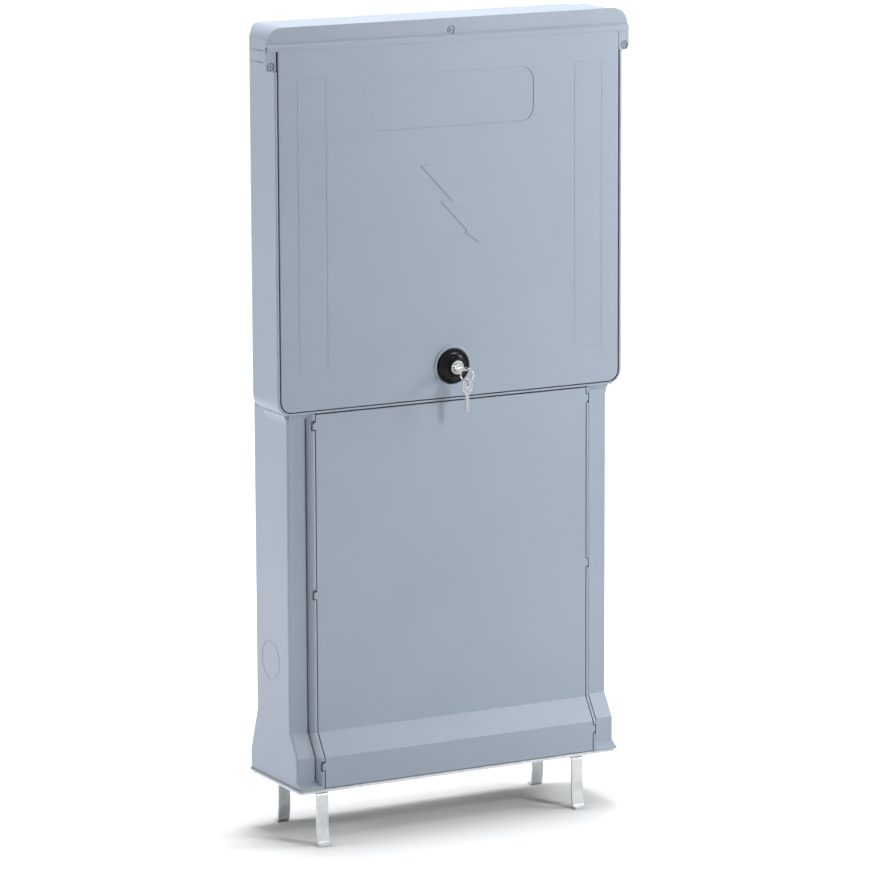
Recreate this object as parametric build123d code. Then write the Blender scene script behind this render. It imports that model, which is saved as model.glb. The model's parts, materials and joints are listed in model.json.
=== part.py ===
from build123d import *
import math
import os

# Electrical pillar cabinet: a meter compartment with a top-hung door stands on a cable
# pedestal with a removable front cover, and four strip anchors reach down into the footing.
# Millimetres, +Z up, the front faces -Y. While a piece is built, Y = 0 is the front edge of
# the pedestal's foot and Z = 0 its lower edge. The last step moves everything so that the
# origin lies on the ground, in the middle of the whole object's footprint.

# Driving sizes of the two housings
CASING_WIDTH = 616.0
PEDESTAL_WIDTH = 574.0
FOOT_WIDTH = 580.0
BODY_HEIGHT = 1200.0
CASING_BOTTOM = 596.3
CASING_FLOOR = 600.0
REAR_BOTTOM_RADIUS = 0.6
FOOT_DEPTH = 176.0
WALL = 4.0
SIDE_WALL = 4.2

# Front to back positions
DOOR_FACE = 24.0
STILE_FACE = 36.0
COLLAR_BACK = 116.0
BODY_BACK = 152.0
FLARE = 24.0

# Heights of the pedestal's flares
FRONT_FLARE_TOP = 87.0
FRONT_FLARE_END = 51.0
BACK_FLARE_TOP = 104.0
BACK_FLARE_END = 34.0
PEDESTAL_TOP = 596.0
TOP_FLANGE = 591.5

# Hollow neck that carries the pedestal's sides out to the collar's round corners
NECK_REACH = 5.0
NECK_HEIGHT = 15.0
NECK_SEAT = 1.4

# Corner radii of the pedestal and the casing
PEDESTAL_CORNER = 4.0
MOUTH_BOTTOM_RADIUS = 24.0
ROOF_RADIUS = 22.0
REAR_ROOF_RADIUS = 14.0

# Door and its hinge line
DOOR_WIDTH = 603.0
DOOR_BOTTOM = 601.6
DOOR_TOP = 1165.8
DOOR_SKIN = 3.5
DOOR_RETURN = 38.0
DOOR_CORNER = 18.0
SINK_DEPTH = 0.25
LOOP_X = 245.0
LOOP_HALF = 26.0
LOOP_BOTTOM = 660.0
LOOP_TOP = 1121.0
RIB_HALF = 1.4
KNUCKLE_INNER = 287.0
KNUCKLE_RADIUS = 8.5
HINGE_Y = 38.0
HINGE_Z = 1152.0
PIN_RADIUS = 4.0
PIN_PLAY = 0.06

# Header strip above the door
HEADER_WIDTH = 639.0
HEADER_BOTTOM = 1171.0
HEADER_FACE = 27.5
HEADER_BACK = 31.0
HEADER_RADIUS = 26.0
HEADER_GAP = 1.0
LIP_FACE = 22.6
LIP_BACK = 23.6
LIP_BOTTOM = 1164.2
LUG_FACE = 26.6
LUG_OUTER = 321.5
LUG_WIDTH = 18.0
LUG_BOTTOM = 1133.5
LEFT_LUG_RADIUS = 2.0
RIGHT_LUG_RADIUS = 7.0
BOSS_OUTER = 318.5
LUG_SCREW_Z = 1141.0
LUG_SCREW_X = 313.0
HEADER_SCREW_Z = 1181.5
HEADER_RECESS_RADIUS = 7.5

# Cover of the pedestal
COVER_WIDTH = 484.6
COVER_BOTTOM = 2.0
COVER_TOP = 594.6
COVER_SKIN = 3.5
RIM_INNER = 243.8
RIM_OUTER = 247.8
RISER_FOOT = 253.5
GROOVE_WIDTH = 1.8
GROOVE_DEPTH = 2.2
SEAT_INNER = 232.0
SEAT_DEPTH = 14.5
EAR_HEIGHTS = (37.5, 308.0, 577.5)
EAR_HEIGHT = 13.0
EAR_REACH = 247.0

# Lock in the middle of the door's lower edge
LOCK_Z = 651.0
LOCK_RING_RADIUS = 33.3
ROSETTE_RADIUS = 27.5
ROSETTE_FACE = 18.4
HUB_RADIUS = 13.6
HUB_FRONT = 9.0
BARREL_FACE = 6.0
BARREL_BACK = 48.0
BARREL_RADIUS = 10.94
BARREL_BORE = 11.0
LOCK_BODY_RADIUS = 14.0
LOCK_BODY_END = 46.0
CAM_LENGTH = 46.0
CAM_WIDTH = 18.0
CAM_THICKNESS = 3.0
CAM_FRONT = 48.2

# Keys and their ring
KEY_THICKNESS = 1.8
BOW_OUTLINE = (
    (-4.0, 11.9),
    (-12.0, 4.6),
    (-12.0, -4.6),
    (-2.8, -13.0),
    (2.8, -13.0),
    (12.0, -4.6),
    (12.0, 4.6),
    (4.0, 11.9),
)
BOW_CORNER = 2.4
BOW_CENTRE = -7.0
BOW_HOLE_RADIUS = 4.6
BOW_HOLE_OFFSET = 4.4
BOW_RIM = 1.8
BOW_SINK = 0.4
BLADE_WIDTH = 8.0
BLADE_LENGTH = 28.0
RING_RADIUS = 11.1
RING_WIRE = 0.62
RING_TURN_GAP = 0.5
RING_HEADING = 35.0
SPARE_TWIST = 15.0

# Gasket seat inside the casing's mouth
SEAT_FRONT = 43.0
SEAT_BACK = 46.0
GASKET_FRONT = 38.4
GASKET_TOP = 1130.0
SEAT_BORDER = 16.0

# Meter board
BOARD_WIDTH = 510.0
BOARD_BOTTOM = 650.0
BOARD_TOP = 1095.0
BOARD_BACK = 141.0
BOARD_THICKNESS = 6.0
BOARD_FIX_X = 230.0
BOARD_FIX_Z = (680.0, 1060.0)
METER_HOLE_RADIUS = 2.5
METER_SPACING_X = 150.0
METER_SPACING_Z = 180.0
METER_CENTRE_Z = 890.0

# Cable fittings
GROMMET_X = (-150.0, 0.0, 150.0)
GROMMET_Y = 100.0
GROMMET_RADIUS = 30.0
RAIL_Z = 440.0
RAIL_LENGTH = 540.0
RAIL_HEIGHT = 30.0
RAIL_DEPTH = 15.0
RAIL_BACK = 135.0
RAIL_FIX_X = 240.0
CLEAT_X = (-130.0, 0.0, 130.0)
CLEAT_RADIUS = 18.0

# Anchoring below the foot
ANCHOR_DROP = 91.0
FRAME_THICKNESS = 5.0
FRAME_WIDTH = 572.0
FRAME_FRONT = 4.0
FRAME_BACK = 172.0
FRAME_BAR = 32.0
STRIP_WIDTH = 20.0
STRIP_THICKNESS = 4.0
FRONT_LEFT_X = -245.0
FRONT_RIGHT_X = 217.0
REAR_LEFT_X = -237.0
REAR_RIGHT_X = 229.0
FRONT_LEG_Y = 8.0
REAR_LEG_Y = 158.0
ANCHOR_HOLE = 16.0
PAD_X = 268.0
PAD_FRONT_Y = 28.0
PAD_REAR_Y = 150.0
SEAM = 0.2

# Fastener positions that two pieces share
CLAMP_BOLT_X = (-170.0, 170.0)
CLAMP_BOLT_Y = 52.0
CASING_BOLTS = (
    (-270.0, 62.0),
    (270.0, 62.0),
    (-270.0, 132.0),
    (270.0, 132.0),
    (-90.0, 138.0),
    (90.0, 138.0),
)
CASING_BOLT_HOLE = 4.5
KEEPER_SCREW_X = (-20.0, 20.0)
KEEPER_SCREW_Y = 58.0
KEEPER_SHEET = 1.6
SCREW_PILOT = 2.5
HOLD_DOWN_HOLE = 5.5
HOLD_DOWN_HEAD = 9.5
STRIP_BOLT_HOLE = 4.1
STRIP_BOLT_HEAD = 7.4
FOOT_PAD_TOP = 9.0

# Middle of the footprint, between the key ring's front and the foot's back edge
FOOTPRINT_MIDDLE = 74.68


def side_face(points, x=0.0):
    """A flat face from (Y, Z) points, standing at one X."""
    return Plane.YZ.offset(x) * make_face(Polyline(*points, close=True))


def bar_along_x(points, x_low, x_high):
    """A bar whose section is given as (Y, Z) points, between two X positions."""
    return extrude(side_face(points, x_low), x_high - x_low)


def block(x, y, z):
    """A block between pairs of limits."""
    size = (x[1] - x[0], y[1] - y[0], z[1] - z[0])
    middle = (sum(x) / 2, sum(y) / 2, sum(z) / 2)
    return Pos(*middle) * Box(*size)


def front_outline(half_width, bottom, top, bottom_radius, top_radius, y):
    """A face across the front, seen from -Y, with its own radii below and above."""
    height = top - bottom
    face = Rectangle(2 * half_width, height)
    low = face.vertices().group_by(Axis.Y)[0]
    face = fillet(low, bottom_radius)
    high = face.vertices().group_by(Axis.Y)[-1]
    face = fillet(high, top_radius)
    plane = Plane(origin=(0, y, (bottom + top) / 2), x_dir=(1, 0, 0), z_dir=(0, -1, 0))
    return plane * face


def front_block(half_width, bottom, top, bottom_radius, top_radius, y):
    """The same outline as a solid between two Y positions."""
    face = front_outline(half_width, bottom, top, bottom_radius, top_radius, y[1])
    return extrude(face, y[1] - y[0])


def rod_along_y(radius, x, z, y):
    """A round rod along Y between two Y positions."""
    plane = Plane(origin=(x, y[0], z), z_dir=(0, 1, 0))
    return extrude(plane * Circle(radius), y[1] - y[0])


def rod_along_z(radius, x, y, z):
    """A round rod along Z between two Z positions."""
    plane = Plane(origin=(x, y, z[0]))
    return extrude(plane * Circle(radius), z[1] - z[0])


def rod_along_x(radius, y, z, x):
    """A round rod along X between two X positions."""
    plane = Plane(origin=(x[0], y, z), z_dir=(1, 0, 0))
    return extrude(plane * Circle(radius), x[1] - x[0])


def hexagon_along_z(across_flats, x, y, z):
    """A hexagonal prism along Z between two Z positions."""
    plane = Plane(origin=(x, y, z[0]))
    return extrude(plane * RegularPolygon(across_flats / 2, 6, major_radius=False), z[1] - z[0])


def countersink(wide, narrow, x, y, z):
    """A cone that narrows upwards between two Z positions."""
    return Pos(x, y, (z[0] + z[1]) / 2) * Cone(wide, narrow, z[1] - z[0])


def group(pieces):
    """Separate solids that belong to one node."""
    return Part() + pieces


def both_sides(piece):
    """A piece and its mirror image in the cabinet's middle plane."""
    return piece + mirror(piece, about=Plane.YZ)


def pedestal_section(front, top, bottom):
    """The pedestal's side view with its flared foot, as (Y, Z) points."""
    return [
        (front, top),
        (front, FRONT_FLARE_TOP),
        (front - FLARE, FRONT_FLARE_END),
        (front - FLARE, bottom),
        (FOOT_DEPTH, bottom),
        (FOOT_DEPTH, BACK_FLARE_END),
        (BODY_BACK, BACK_FLARE_TOP),
        (BODY_BACK, top),
    ]


def front_section(face, near, far, top, bottom):
    """A layer behind a flared face, between two depths, as (Y, Z) points."""
    slope = FLARE / (FRONT_FLARE_TOP - FRONT_FLARE_END)
    drop = (math.sqrt(1 + slope * slope) - 1) / slope
    return [
        (face + near, top),
        (face + near, FRONT_FLARE_TOP - near * drop),
        (face - FLARE + near, FRONT_FLARE_END - near * drop),
        (face - FLARE + near, bottom),
        (face - FLARE + far, bottom),
        (face - FLARE + far, FRONT_FLARE_END - far * drop),
        (face + far, FRONT_FLARE_TOP - far * drop),
        (face + far, top),
    ]


def make_pedestal_shell():
    half = PEDESTAL_WIDTH / 2
    outer = bar_along_x(pedestal_section(STILE_FACE, PEDESTAL_TOP, 0), -half, half)
    corners = [
        edge
        for edge in outer.edges()
        if abs(abs(edge.center().X) - half) < 0.1 and 1 < edge.center().Z < PEDESTAL_TOP - 1
    ]
    shell = fillet(corners, PEDESTAL_CORNER)
    hollow = offset(
        side_face(pedestal_section(STILE_FACE, PEDESTAL_TOP + 30, -30), -half + SIDE_WALL),
        -WALL,
        kind=Kind.INTERSECTION,
    )
    shell -= extrude(hollow, PEDESTAL_WIDTH - 2 * SIDE_WALL)

    # Rim round the cover, with a sloping outer side down to the stile
    rim_section = front_section(DOOR_FACE, 0, STILE_FACE - DOOR_FACE + WALL, PEDESTAL_TOP, 0)
    crest = side_face(rim_section, RIM_OUTER)
    foot = side_face(front_section(STILE_FACE, 0, WALL, PEDESTAL_TOP, 0), RISER_FOOT)
    rim = loft([crest, foot], ruled=True)
    rim += bar_along_x(rim_section, RIM_INNER, RIM_OUTER)
    shell += both_sides(rim)

    # Opening behind the cover, stepped so that the cover's edge has a seat
    shell -= block((-SEAT_INNER, SEAT_INNER), (-5, 60), (10, PEDESTAL_TOP + 5))
    rebate = front_section(DOOR_FACE, -2, SEAT_DEPTH, PEDESTAL_TOP + 5, -5)
    shell -= bar_along_x(rebate, -RIM_INNER, RIM_INNER)
    seat = front_section(DOOR_FACE, SEAT_DEPTH, SEAT_DEPTH + 3.5, PEDESTAL_TOP, 0)
    shell += both_sides(bar_along_x(seat, SEAT_INNER, RIM_INNER + 3))

    # Narrow groove where each riser meets its stile
    groove = front_section(STILE_FACE, -1, GROOVE_DEPTH, PEDESTAL_TOP - 9, FRONT_FLARE_END - 36)
    shell -= both_sides(bar_along_x(groove, RISER_FOOT, RISER_FOOT + GROOVE_WIDTH))

    # Sill below the opening, and notches for the cover's ears
    shell += bar_along_x([(SEAT_DEPTH, 0), (SEAT_DEPTH, 12), (24, 12), (24, 0)], -SEAT_INNER, SEAT_INNER)
    for height in EAR_HEIGHTS:
        front = DOOR_FACE if height > FRONT_FLARE_TOP else DOOR_FACE - FLARE
        limits_z = (height - EAR_HEIGHT / 2 - 1.4, height + EAR_HEIGHT / 2 + 1.4)
        notch = block((RIM_INNER - 1, RIM_OUTER + 1.2), (front - 1, front + 4.6), limits_z)
        shell -= both_sides(notch)

    # Sloping head of each recessed stile, and the foot with its small ledge
    head = [
        (STILE_FACE + 1, PEDESTAL_TOP - 9),
        (STILE_FACE, PEDESTAL_TOP - 8),
        (DOOR_FACE + 4, PEDESTAL_TOP - 0.5),
        (DOOR_FACE + 4, PEDESTAL_TOP),
        (STILE_FACE + 1, PEDESTAL_TOP),
    ]
    shell += both_sides(bar_along_x(head, RIM_OUTER - 1, half - 3.5))
    half_foot = FOOT_WIDTH / 2
    flange = block((-half_foot, half_foot), (0, FOOT_DEPTH), (0, 3.0))
    flange = fillet(flange.edges().filter_by(Axis.Z), 6.0)
    flange -= block((-half + SIDE_WALL, half - SIDE_WALL), (WALL, FOOT_DEPTH - WALL), (-1, 6))
    flange -= block((-RIM_INNER, RIM_INNER), (-1, SEAT_DEPTH), (-1, 6))
    shell += flange
    ledge = [(13, 0), (13, 12.5), (11.5, 12), (1.2, 5.5), (0, 4), (0, 0)]
    shell += both_sides(bar_along_x(ledge, RIM_OUTER - 1, half - 1))

    # Flange under the casing, open at the front
    flange_z = (TOP_FLANGE, PEDESTAL_TOP)
    side_limits = (258, half - SIDE_WALL + 1)
    shell += both_sides(block(side_limits, (STILE_FACE + 3, BODY_BACK - 3), flange_z))
    shell += block((-half + 3, half - 3), (124, BODY_BACK - 3), flange_z)
    for x, y in CASING_BOLTS:
        shell -= rod_along_z(CASING_BOLT_HOLE, x, y, (580, 600))
    for x in GROMMET_X:
        shell -= rod_along_z(GROMMET_RADIUS + 8, x, GROMMET_Y, (580, 600))

    # Hollow neck along each side, up to the collar's round corner
    neck_foot = PEDESTAL_TOP - NECK_HEIGHT
    neck = Line((half - 2, neck_foot), (half, neck_foot))
    neck += TangentArc((half, neck_foot), (half + NECK_REACH, PEDESTAL_TOP), tangent=(0, 1))
    neck += Line((half + NECK_REACH, PEDESTAL_TOP), (half - 2, PEDESTAL_TOP))
    neck += Line((half - 2, PEDESTAL_TOP), (half - 2, neck_foot))
    neck_back = COLLAR_BACK - 6
    neck_plane = Plane(origin=(0, neck_back, 0), x_dir=(1, 0, 0), z_dir=(0, -1, 0))
    shell += both_sides(extrude(neck_plane * make_face(neck), neck_back - STILE_FACE - 0.5))

    # Corner pads for the holding-down bolts, and bosses for the cable rail
    for y in (PAD_FRONT_Y, PAD_REAR_Y):
        shell += both_sides(block((250, half - 2), (y - 14, y + 14), (0, FOOT_PAD_TOP)))
        for x in (-PAD_X, PAD_X):
            shell -= rod_along_z(HOLD_DOWN_HOLE, x, y, (-1, FOOT_PAD_TOP + 3))
    for x in (-RAIL_FIX_X, RAIL_FIX_X):
        shell += rod_along_y(9, x, RAIL_Z, (RAIL_BACK, BODY_BACK - 2))
        shell -= rod_along_y(3.0, x, RAIL_Z, (RAIL_BACK - 1, BODY_BACK - 3))

    # Round knock-outs, marked by a shallow groove in each side
    for side in (-1, 1):
        plane = Plane(origin=(side * (half - 0.4), 99, 194), z_dir=(side, 0, 0))
        groove = plane * (Circle(31) - Circle(29.6))
        shell -= extrude(groove, 3)
    return shell


def make_upper_casing():
    half = CASING_WIDTH / 2
    rear_half = PEDESTAL_WIDTH / 2
    collar = front_block(
        half, CASING_BOTTOM, BODY_HEIGHT, MOUTH_BOTTOM_RADIUS, ROOF_RADIUS, (DOOR_FACE, COLLAR_BACK)
    )
    collar = fillet(collar.faces().sort_by(Axis.Y)[-1].edges(), 8.0)
    collar = fillet(collar.faces().sort_by(Axis.Y)[0].edges(), 2.0)
    rear = front_block(
        rear_half, CASING_BOTTOM, BODY_HEIGHT - 2.5, REAR_BOTTOM_RADIUS, REAR_ROOF_RADIUS, (80, BODY_BACK)
    )
    rear = fillet(rear.faces().sort_by(Axis.Y)[-1].edges(), 6.0)
    neck_seat = (CASING_BOTTOM, CASING_BOTTOM + NECK_SEAT)
    seat = block((rear_half - 10, rear_half + NECK_REACH), (DOOR_FACE + 2.5, COLLAR_BACK - 6), neck_seat)
    casing = collar + rear + both_sides(seat)
    casing -= front_block(
        half - SIDE_WALL, CASING_FLOOR, BODY_HEIGHT - WALL, MOUTH_BOTTOM_RADIUS - SIDE_WALL,
        ROOF_RADIUS - WALL, (DOOR_FACE - 5, COLLAR_BACK - WALL),
    )
    casing -= front_block(
        rear_half - SIDE_WALL, CASING_FLOOR, BODY_HEIGHT - 2.5 - WALL, 1.0,
        REAR_ROOF_RADIUS - WALL, (70, BODY_BACK - WALL),
    )

    # Seat for the gasket, right round the mouth
    mouth = front_block(
        half - 2, CASING_FLOOR - 2, GASKET_TOP, MOUTH_BOTTOM_RADIUS - 3, 2.0, (SEAT_FRONT, SEAT_BACK)
    )
    mouth -= front_block(
        half - SIDE_WALL - SEAT_BORDER, CASING_FLOOR + 12, GASKET_TOP - 12, 10.0, 10.0,
        (SEAT_FRONT - 1, SEAT_BACK + 1),
    )
    casing += mouth

    # Room in front for the header and its lugs, a flange behind the header, lug bosses
    room = (DOOR_FACE - 5, HEADER_BACK + HEADER_GAP)
    casing -= block((-half - 5, half + 5), room, (DOOR_TOP + 0.5, BODY_HEIGHT + 5))
    casing -= both_sides(block((half - SIDE_WALL - 0.5, half + 5), room, (LUG_BOTTOM - 0.6, BODY_HEIGHT)))
    flange = (HEADER_BACK + SEAM, HEADER_BACK + 4.2)
    flange_bottom = HEADER_BOTTOM + 3
    casing += block((-half + 2, half - 2), flange, (flange_bottom, BODY_HEIGHT - ROOF_RADIUS + 1))
    casing += block((-half + ROOF_RADIUS, half - ROOF_RADIUS), flange, (flange_bottom, BODY_HEIGHT - 2))
    boss = block((half - 1, BOSS_OUTER), (HEADER_BACK + SEAM, 46), (LUG_BOTTOM + 1.5, HEADER_BOTTOM))
    boss = fillet(boss.edges().filter_by(Axis.Y).sort_by(Axis.X)[-2:], 6.0)
    boss = chamfer(boss.faces().sort_by(Axis.X)[-1].edges().sort_by(Axis.Y)[-1], 5.0)
    casing += both_sides(boss)
    casing -= rod_along_x(PIN_RADIUS, HINGE_Y, HINGE_Z, (-316.5, 316.5))
    for x in (-LUG_SCREW_X, LUG_SCREW_X):
        casing -= rod_along_y(SCREW_PILOT, x, LUG_SCREW_Z, (HEADER_BACK, 44))
    casing -= rod_along_y(SCREW_PILOT, 0, HEADER_SCREW_Z, (HEADER_BACK, HEADER_BACK + 6))

    # Wedge-shaped louvres high on both sides, deepest at the front
    for top, height in ((1166, 4.5), (1146, 2.6)):
        wedge = Plane.XY.offset(top - height) * make_face(
            Polyline((half + 1, 112), (half, 112), (half - 3.2, 50), (half + 1, 50), close=True)
        )
        casing -= both_sides(extrude(wedge, height))

    # Holes in the floor, bosses behind the meter board
    for x in GROMMET_X:
        casing -= rod_along_z(GROMMET_RADIUS, x, GROMMET_Y, (590, 605))
    for x, y in CASING_BOLTS:
        casing -= rod_along_z(CASING_BOLT_HOLE, x, y, (590, 605))
    for x in CLAMP_BOLT_X:
        casing -= rod_along_z(3.3, x, CLAMP_BOLT_Y, (590, 605))
    for x in KEEPER_SCREW_X:
        casing -= rod_along_z(SCREW_PILOT, x, KEEPER_SCREW_Y, (590, 605))
    for x in (-BOARD_FIX_X, BOARD_FIX_X):
        for z in BOARD_FIX_Z:
            casing += rod_along_y(9, x, z, (BOARD_BACK, BODY_BACK - 2))
            casing -= rod_along_y(3.0, x, z, (BOARD_BACK - 1, BODY_BACK - 2.5))
    return casing


def make_header_cap():
    half = HEADER_WIDTH / 2
    section = [
        (HEADER_BACK, BODY_HEIGHT),
        (HEADER_FACE, BODY_HEIGHT),
        (HEADER_FACE, HEADER_BOTTOM + 5.0),
        (LIP_FACE, HEADER_BOTTOM + 0.4),
        (LIP_FACE, LIP_BOTTOM),
        (LIP_BACK, LIP_BOTTOM),
        (LIP_BACK, LIP_BOTTOM + 4.2),
        (HEADER_FACE - 0.5, HEADER_BOTTOM),
        (HEADER_BACK, HEADER_BOTTOM),
    ]
    cap = bar_along_x(section, -half, half)
    cap &= front_block(
        half, LIP_BOTTOM - 5, BODY_HEIGHT, 0.5, HEADER_RADIUS, (LIP_FACE - 1, HEADER_BACK + 1)
    )
    for side, radius in ((-1, LEFT_LUG_RADIUS), (1, RIGHT_LUG_RADIUS)):
        reach = sorted((side * (LUG_OUTER - LUG_WIDTH), side * LUG_OUTER))
        lug = block(reach, (LUG_FACE, HEADER_BACK), (LUG_BOTTOM, HEADER_BOTTOM + 0.4))
        lower = lug.edges().filter_by(Axis.Y).group_by(Axis.Z)[0].sort_by(Axis.X)
        lug = fillet(lower[-1] if side > 0 else lower[0], radius)
        cap += lug
    lip_z = (LIP_BOTTOM, HEADER_BOTTOM + 0.4)
    lip_end = block((LUG_OUTER - LUG_WIDTH, half), (LIP_FACE, LUG_FACE + 0.5), lip_z)
    cap += both_sides(lip_end)
    cap -= both_sides(rod_along_y(6.4, LUG_SCREW_X, LUG_SCREW_Z, (LUG_FACE - 1, LUG_FACE + 3)))
    cap -= both_sides(rod_along_y(2.8, LUG_SCREW_X, LUG_SCREW_Z, (LUG_FACE - 1, HEADER_BACK + 1)))
    cap -= rod_along_y(HEADER_RECESS_RADIUS, 0, HEADER_SCREW_Z, (LIP_FACE - 1, HEADER_FACE + 1.2))
    cap -= rod_along_y(2.8, 0, HEADER_SCREW_Z, (HEADER_FACE - 1, HEADER_BACK + 1))
    return cap


def screw_along_y(x, z, head_front, head_radius, head_height, shank_radius, end):
    """A pan-head screw that points along +Y, with a cross recess."""
    profile = Plane.XY * make_face(
        Polyline(
            (0, 0),
            (head_radius * 0.7, 0),
            (head_radius, head_height * 0.55),
            (head_radius, head_height),
            (shank_radius, head_height),
            (shank_radius, end - head_front),
            (0, end - head_front),
            close=True,
        )
    )
    screw = revolve(profile, Axis.Y)
    slot = Box(head_radius * 1.1, head_height, head_radius * 0.24)
    screw -= slot + Rot(0, 90, 0) * slot
    return Pos(x, head_front, z) * screw


def make_header_screw():
    return screw_along_y(0, HEADER_SCREW_Z, HEADER_FACE - 0.6, 4.6, 1.8, SCREW_PILOT, HEADER_BACK + 5)


def make_lug_screws():
    screw = screw_along_y(LUG_SCREW_X, LUG_SCREW_Z, LUG_FACE + 0.2, 6.1, 2.8, SCREW_PILOT, 43)
    return both_sides(screw)


def make_hinge_pins():
    return both_sides(rod_along_x(PIN_RADIUS, HINGE_Y, HINGE_Z, (286.5, 316)))


def make_door_gasket():
    half = CASING_WIDTH / 2 - SIDE_WALL - 0.5
    bottom = CASING_BOTTOM + 4.2
    outer = front_block(
        half, bottom, GASKET_TOP - 0.5, MOUTH_BOTTOM_RADIUS - 5, 2.0, (GASKET_FRONT, SEAT_FRONT)
    )
    inner = front_block(
        half - 11, bottom + 11, GASKET_TOP - 11.5, MOUTH_BOTTOM_RADIUS - 14, 2.0,
        (GASKET_FRONT - 1, SEAT_FRONT + 1),
    )
    ring = outer - inner
    return chamfer(ring.faces().sort_by(Axis.Y)[0].edges(), 1.4)


def lightning_arrow():
    """The raised danger arrow: a bent bolt with its head at the lower right."""
    points = [
        (-55.5, 972.5),
        (-39.5, 972.5),
        (20.0, 901.5),
        (5.5, 902.5),
        (32.5, 866.0),
        (39.5, 866.5),
        (51.0, 842.5),
        (23.0, 862.0),
        (26.5, 865.0),
        (-19.5, 913.0),
        (1.0, 913.0),
    ]
    plane = Plane(origin=(0, DOOR_FACE + 0.2, 0), x_dir=(1, 0, 0), z_dir=(0, -1, 0))
    return extrude(plane * make_face(Polyline(*points, close=True)), 1.2)


def make_door_panel():
    half = DOOR_WIDTH / 2
    door = front_block(half, DOOR_BOTTOM, DOOR_TOP, DOOR_CORNER, 1.0, (DOOR_FACE, DOOR_RETURN))
    door = fillet(door.faces().sort_by(Axis.Y)[0].edges(), 0.9)
    door -= front_block(
        half - DOOR_SKIN, DOOR_BOTTOM + DOOR_SKIN, DOOR_TOP - DOOR_SKIN, DOOR_CORNER - DOOR_SKIN,
        0.5, (DOOR_FACE + DOOR_SKIN, DOOR_RETURN + 1),
    )

    # Stiffening loops behind the skin, and the rib that meets the gasket's upper run
    rib_y = (DOOR_FACE + DOOR_SKIN - 0.5, 35.0)
    loop = front_block(LOOP_HALF, LOOP_BOTTOM, LOOP_TOP, 6, 6, rib_y)
    loop -= front_block(LOOP_HALF - 3, LOOP_BOTTOM + 3, LOOP_TOP - 3, 3, 3, (rib_y[0] - 1, rib_y[1] + 1))
    door += both_sides(Pos(LOOP_X, 0, 0) * loop)
    door += block((-half + 2, half - 2), (rib_y[0], DOOR_RETURN), (1122.5, 1125.5))
    for x in (-120, 120):
        door += block((x - RIB_HALF, x + RIB_HALF), rib_y, (620, 1123))
    for z in (761.4, 1001.4):
        door += block((-LOOP_X + LOOP_HALF, LOOP_X - LOOP_HALF), rib_y, (z - RIB_HALF, z + RIB_HALF))

    # Shallow sink marks that the loops leave in the face
    mark_y = (DOOR_FACE - 1, DOOR_FACE + SINK_DEPTH)
    clear_y = (DOOR_FACE - 2, DOOR_FACE + 1)
    mark = front_block(LOOP_HALF - 0.8, LOOP_BOTTOM + 0.8, LOOP_TOP - 0.8, 5, 5, mark_y)
    mark -= front_block(LOOP_HALF - 2.2, LOOP_BOTTOM + 2.2, LOOP_TOP - 2.2, 4, 4, clear_y)
    door -= both_sides(Pos(LOOP_X, 0, 0) * mark)

    # Knuckles that turn on the hinge pins
    knuckle_x = (KNUCKLE_INNER, half - 1)
    knuckle = rod_along_x(KNUCKLE_RADIUS, HINGE_Y, HINGE_Z, knuckle_x)
    knuckle += block(knuckle_x, (rib_y[0], HINGE_Y), (HINGE_Z - KNUCKLE_RADIUS, HINGE_Z + KNUCKLE_RADIUS))
    door += both_sides(knuckle)
    door -= rod_along_x(PIN_RADIUS + PIN_PLAY, HINGE_Y, HINGE_Z, (-half - 1, half + 1))

    # Label recess, drain dimple, danger arrow, round rim and hole for the lock
    door -= front_block(147, 1031, 1117, 22, 22, (DOOR_FACE - 1, DOOR_FACE + 0.8))
    door += lightning_arrow()
    rim_plane = Plane(origin=(0, DOOR_FACE + 0.5, LOCK_Z), z_dir=(0, -1, 0))
    rim = extrude(rim_plane * (Circle(LOCK_RING_RADIUS) - Circle(28.2)), 2.4)
    rim = fillet(rim.faces().sort_by(Axis.Y)[0].edges(), 1.5)
    door += rim
    door += rod_along_y(20, 0, LOCK_Z, (rib_y[0], 28.4))
    door -= rod_along_y(LOCK_BODY_RADIUS + 0.1, 0, LOCK_Z, (DOOR_FACE - 5, 40))
    return door


def make_lock_rosette():
    """A turned disc that sweeps up in one hollow curve to the hub round the cylinder."""
    shoulder = ROSETTE_RADIUS - 1.2
    outline = Line((BARREL_BORE, DOOR_FACE - SEAM), (ROSETTE_RADIUS, DOOR_FACE - SEAM))
    outline += Line((ROSETTE_RADIUS, DOOR_FACE - SEAM), (ROSETTE_RADIUS, 19.6))
    outline += Line((ROSETTE_RADIUS, 19.6), (shoulder, ROSETTE_FACE))
    outline += Line((shoulder, ROSETTE_FACE), (23.5, ROSETTE_FACE))
    outline += ThreePointArc((23.5, ROSETTE_FACE), (17.2, 15.6), (HUB_RADIUS, HUB_FRONT + 0.8))
    outline += Line((HUB_RADIUS, HUB_FRONT + 0.8), (HUB_RADIUS - 0.8, HUB_FRONT))
    outline += Line((HUB_RADIUS - 0.8, HUB_FRONT), (BARREL_BORE, HUB_FRONT))
    outline += Line((BARREL_BORE, HUB_FRONT), (BARREL_BORE, DOOR_FACE - SEAM))
    rosette = revolve(Plane.XY * make_face(outline), Axis.Y)
    return Pos(0, 0, LOCK_Z) * rosette


def make_lock_body():
    tube = rod_along_y(LOCK_BODY_RADIUS, 0, LOCK_Z, (DOOR_FACE, LOCK_BODY_END))
    return tube - rod_along_y(BARREL_BORE, 0, LOCK_Z, (DOOR_FACE - 1, LOCK_BODY_END + 1))


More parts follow.
